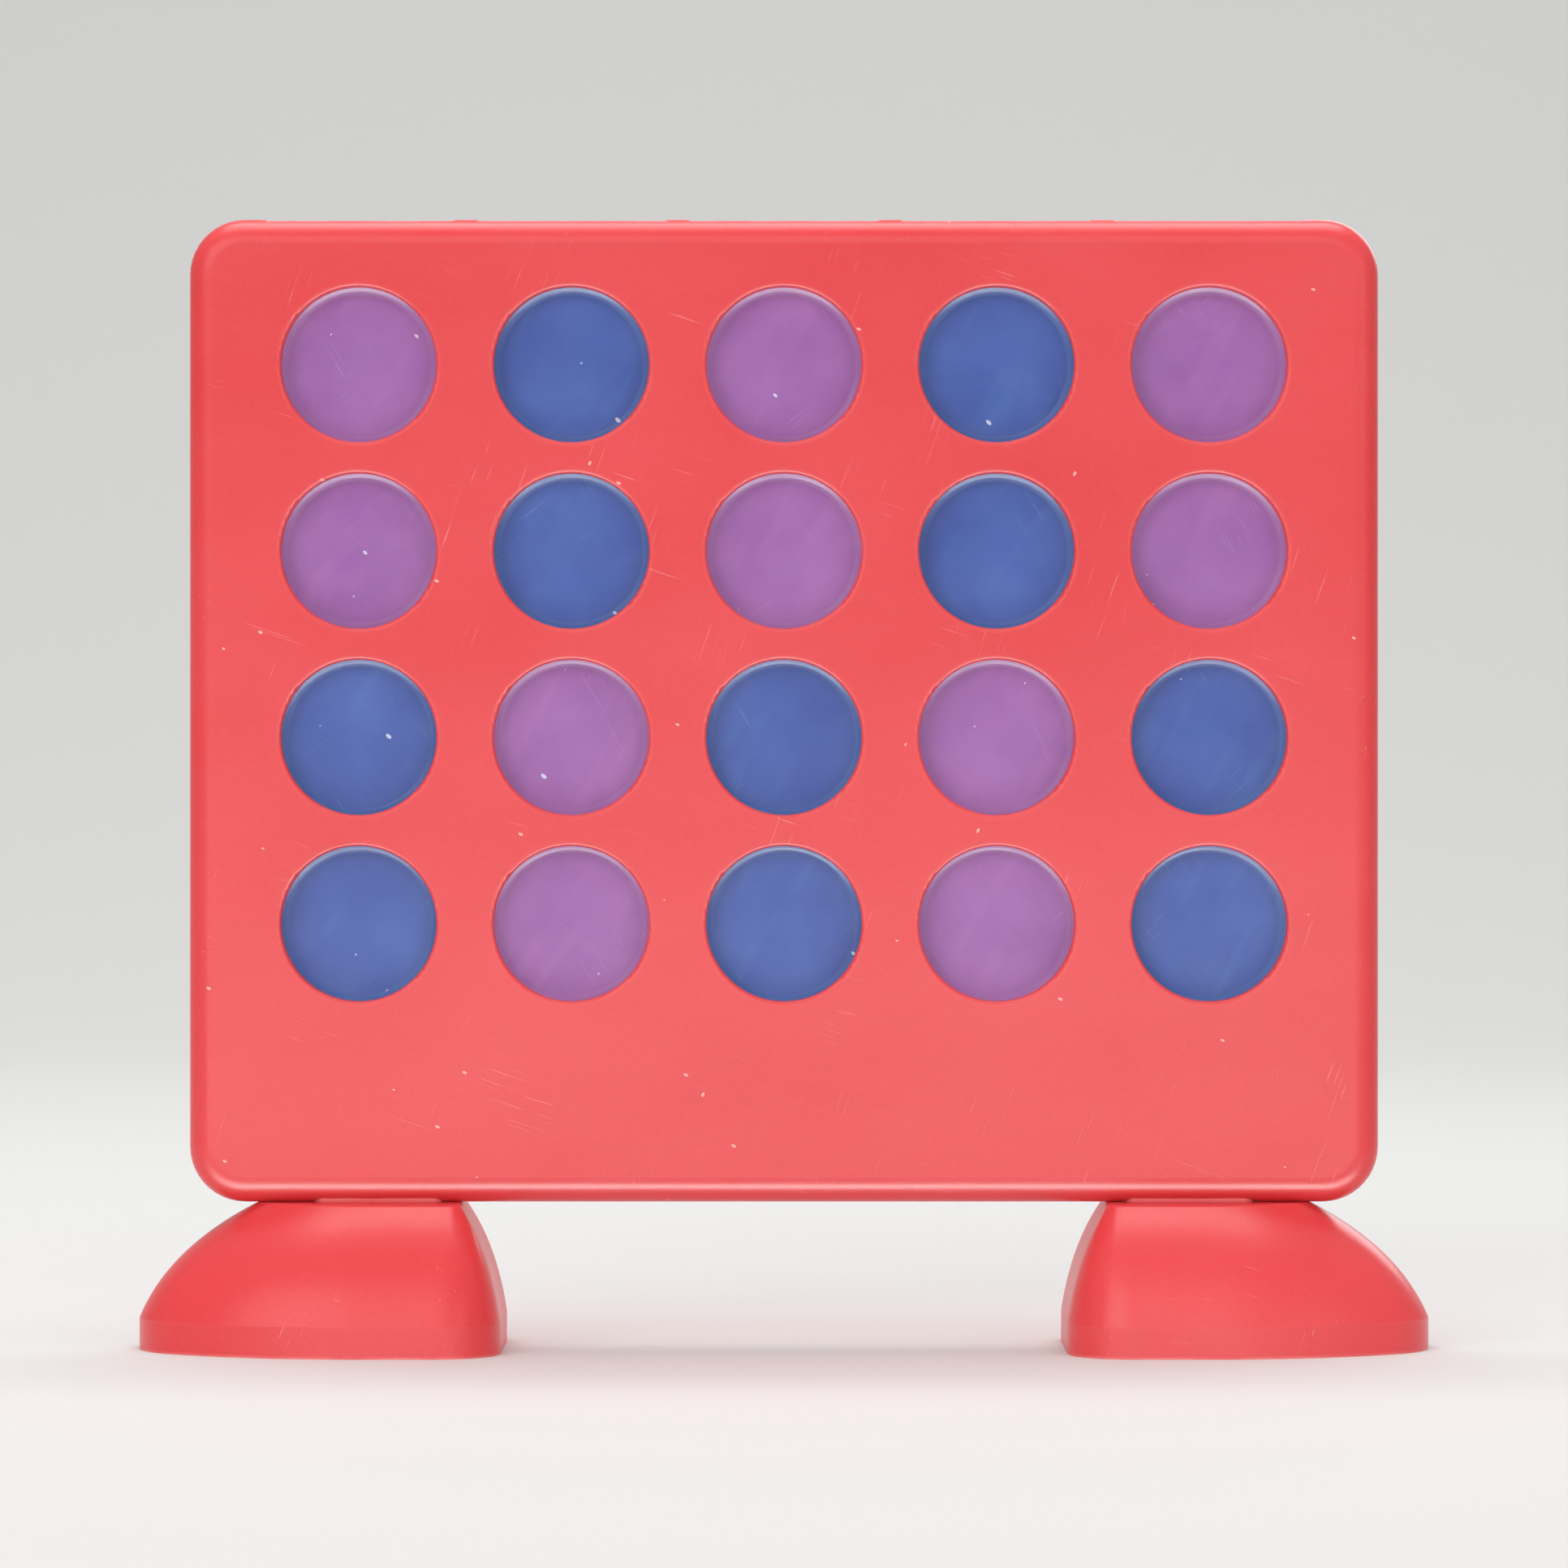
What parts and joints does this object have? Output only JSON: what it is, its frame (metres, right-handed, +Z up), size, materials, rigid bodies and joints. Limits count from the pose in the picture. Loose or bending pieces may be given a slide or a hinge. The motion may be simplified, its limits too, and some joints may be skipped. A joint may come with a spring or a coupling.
{
  "type": "four in a row game frame",
  "caption": "Small upright game frame of two moulded shells on two plug-on feet, with round windows and playing discs stacked in its open-topped columns.",
  "frame": {"origin": "on the table, under the middle of the game, between its two feet", "axes": "+X along the frame's width towards the right foot, the front faces -Y, +Z up; both faces look the same"},
  "size_m": [0.1232, 0.0248, 0.1078],
  "materials": {
    "red_plastic": "moulded, semi-gloss",
    "blue_plastic": "moulded, waxy satin",
    "purple_plastic": "moulded, waxy satin"
  },
  "bodies": {
    "left_foot": {"left_foot": "red_plastic"},
    "frame": {"front_shell": "red_plastic", "rear_shell": "red_plastic"},
    "right_foot": {"right_foot": "red_plastic"},
    "disc_a1": {"blue_disc_a1": "blue_plastic"},
    "disc_a2": {"blue_disc_a2": "blue_plastic"},
    "disc_a3": {"purple_disc_a3": "purple_plastic"},
    "disc_a4": {"purple_disc_a4": "purple_plastic"},
    "disc_b1": {"purple_disc_b1": "purple_plastic"},
    "disc_b2": {"purple_disc_b2": "purple_plastic"},
    "disc_b3": {"blue_disc_b3": "blue_plastic"},
    "disc_b4": {"blue_disc_b4": "blue_plastic"},
    "disc_c1": {"blue_disc_c1": "blue_plastic"},
    "disc_c2": {"blue_disc_c2": "blue_plastic"},
    "disc_c3": {"purple_disc_c3": "purple_plastic"},
    "disc_c4": {"purple_disc_c4": "purple_plastic"},
    "disc_d1": {"purple_disc_d1": "purple_plastic"},
    "disc_d2": {"purple_disc_d2": "purple_plastic"},
    "disc_d3": {"blue_disc_d3": "blue_plastic"},
    "disc_d4": {"blue_disc_d4": "blue_plastic"},
    "disc_e1": {"blue_disc_e1": "blue_plastic"},
    "disc_e2": {"blue_disc_e2": "blue_plastic"},
    "disc_e3": {"purple_disc_e3": "purple_plastic"},
    "disc_e4": {"purple_disc_e4": "purple_plastic"}
  },
  "joints": [
    {"name": "pull_off_left_foot", "type": "slide", "parent": "left_foot", "child": "frame", "axis": [0, 0, 1], "range_m": [0, 0.012]},
    {"name": "pull_off_right_foot", "type": "slide", "parent": "frame", "child": "right_foot", "axis": [0, 0, -1], "range_m": [0, 0.012]},
    {"name": "lift_a1", "type": "slide", "parent": "frame", "child": "disc_a1", "axis": [0, 0, 1], "range_m": [0, 0.077]},
    {"name": "lift_a2", "type": "slide", "parent": "disc_a1", "child": "disc_a2", "axis": [0, 0, 1], "range_m": [0, 0.0593]},
    {"name": "lift_a3", "type": "slide", "parent": "disc_a2", "child": "disc_a3", "axis": [0, 0, 1], "range_m": [0, 0.0415]},
    {"name": "lift_a4", "type": "slide", "parent": "disc_a3", "child": "disc_a4", "axis": [0, 0, 1], "range_m": [0, 0.0238]},
    {"name": "lift_b1", "type": "slide", "parent": "frame", "child": "disc_b1", "axis": [0, 0, 1], "range_m": [0, 0.077]},
    {"name": "lift_b2", "type": "slide", "parent": "disc_b1", "child": "disc_b2", "axis": [0, 0, 1], "range_m": [0, 0.0593]},
    {"name": "lift_b3", "type": "slide", "parent": "disc_b2", "child": "disc_b3", "axis": [0, 0, 1], "range_m": [0, 0.0415]},
    {"name": "lift_b4", "type": "slide", "parent": "disc_b3", "child": "disc_b4", "axis": [0, 0, 1], "range_m": [0, 0.0238]},
    {"name": "lift_c1", "type": "slide", "parent": "frame", "child": "disc_c1", "axis": [0, 0, 1], "range_m": [0, 0.077]},
    {"name": "lift_c2", "type": "slide", "parent": "disc_c1", "child": "disc_c2", "axis": [0, 0, 1], "range_m": [0, 0.0593]},
    {"name": "lift_c3", "type": "slide", "parent": "disc_c2", "child": "disc_c3", "axis": [0, 0, 1], "range_m": [0, 0.0415]},
    {"name": "lift_c4", "type": "slide", "parent": "disc_c3", "child": "disc_c4", "axis": [0, 0, 1], "range_m": [0, 0.0238]},
    {"name": "lift_d1", "type": "slide", "parent": "frame", "child": "disc_d1", "axis": [0, 0, 1], "range_m": [0, 0.077]},
    {"name": "lift_d2", "type": "slide", "parent": "disc_d1", "child": "disc_d2", "axis": [0, 0, 1], "range_m": [0, 0.0593]},
    {"name": "lift_d3", "type": "slide", "parent": "disc_d2", "child": "disc_d3", "axis": [0, 0, 1], "range_m": [0, 0.0415]},
    {"name": "lift_d4", "type": "slide", "parent": "disc_d3", "child": "disc_d4", "axis": [0, 0, 1], "range_m": [0, 0.0238]},
    {"name": "lift_e1", "type": "slide", "parent": "frame", "child": "disc_e1", "axis": [0, 0, 1], "range_m": [0, 0.077]},
    {"name": "lift_e2", "type": "slide", "parent": "disc_e1", "child": "disc_e2", "axis": [0, 0, 1], "range_m": [0, 0.0593]},
    {"name": "lift_e3", "type": "slide", "parent": "disc_e2", "child": "disc_e3", "axis": [0, 0, 1], "range_m": [0, 0.0415]},
    {"name": "lift_e4", "type": "slide", "parent": "disc_e3", "child": "disc_e4", "axis": [0, 0, 1], "range_m": [0, 0.0238]}
  ],
  "couplings": [
    {"joint": "pull_off_right_foot", "follows": "pull_off_left_foot", "ratio": 1}
  ]
}
